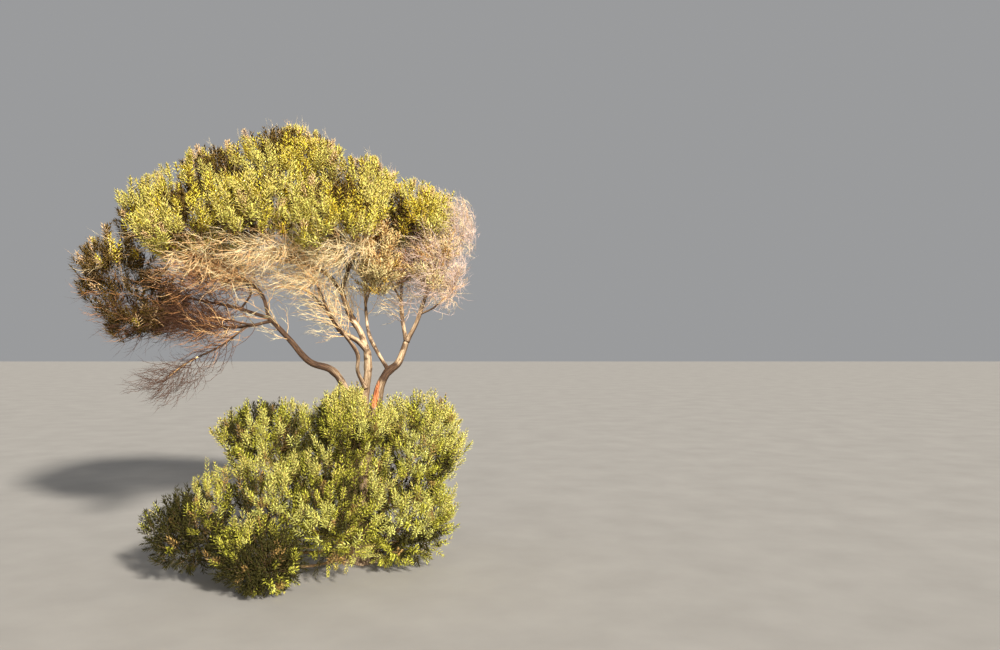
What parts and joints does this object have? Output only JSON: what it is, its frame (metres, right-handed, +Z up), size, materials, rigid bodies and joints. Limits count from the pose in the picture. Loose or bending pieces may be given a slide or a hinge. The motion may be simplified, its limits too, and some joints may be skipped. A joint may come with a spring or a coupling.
{
  "type": "olive tree",
  "caption": "Small wind-swept olive tree with three stems on a short trunk, a domed leafy crown with bare twigs under it, and a skirt of young shoots round the foot.",
  "frame": {"origin": "middle of the flat cut under the trunk, at ground level", "axes": "+Z up along the trunk, +X to the right as the tree is pictured, so the crown leans to -X, and +Y away from the camera"},
  "size_m": [3.5894, 2.6385, 3.9513],
  "materials": {
    "bark": "rough",
    "crown_leaves": "satin",
    "skirt_leaves": "satin",
    "brown_leaves": "matt",
    "bare_twigs": "rough"
  },
  "bodies": {
    "root": {"back_centre_bough": "bark", "back_left_bough": "bark", "back_right_bough": "bark", "brown_bough": "bark", "foliage_back_centre": "crown_leaves", "foliage_back_left": "crown_leaves", "foliage_back_right": "crown_leaves", "foliage_bare_front": "bare_twigs", "foliage_bare_hanging": "bare_twigs", "foliage_bare_left": "bare_twigs", "foliage_bare_low": "bare_twigs", "foliage_bare_right": "bare_twigs", "foliage_bare_right_low": "bare_twigs", "foliage_bare_right_tip": "bare_twigs", "foliage_bare_stream": "bare_twigs", "foliage_brown": "brown_leaves", "foliage_front_centre": "crown_leaves", "foliage_front_left": "crown_leaves", "foliage_front_right": "crown_leaves", "foliage_left_low": "crown_leaves", "foliage_left_tip": "crown_leaves", "foliage_right": "crown_leaves", "foliage_skirt_back_left": "skirt_leaves", "foliage_skirt_back_right": "skirt_leaves", "foliage_skirt_far_left": "skirt_leaves", "foliage_skirt_foot": "skirt_leaves", "foliage_skirt_front": "skirt_leaves", "foliage_skirt_front_low": "skirt_leaves", "foliage_skirt_left": "skirt_leaves", "foliage_skirt_left_low": "skirt_leaves", "foliage_skirt_right": "skirt_leaves", "foliage_skirt_right_low": "skirt_leaves", "foliage_top": "crown_leaves", "foliage_top_left": "crown_leaves", "foliage_top_right": "crown_leaves", "foliage_upper_left": "crown_leaves", "front_centre_bough": "bark", "front_left_bough": "bark", "front_right_bough": "bark", "hanging_bough": "bark", "left_far": "bark", "left_high": "bark", "left_limb": "bark", "left_out": "bark", "loop_stem": "bark", "low_bough": "bark", "main_left": "bark", "main_stem": "bark", "main_up": "bark", "main_up_left": "bark", "main_up_top": "bark", "right_low_bough": "bark", "right_mid_up": "bark", "right_side_bough": "bark", "right_stem": "bark", "right_up": "bark", "right_up_left": "bark", "trunk": "bark", "under_bough": "bark"}
  },
  "joints": []
}
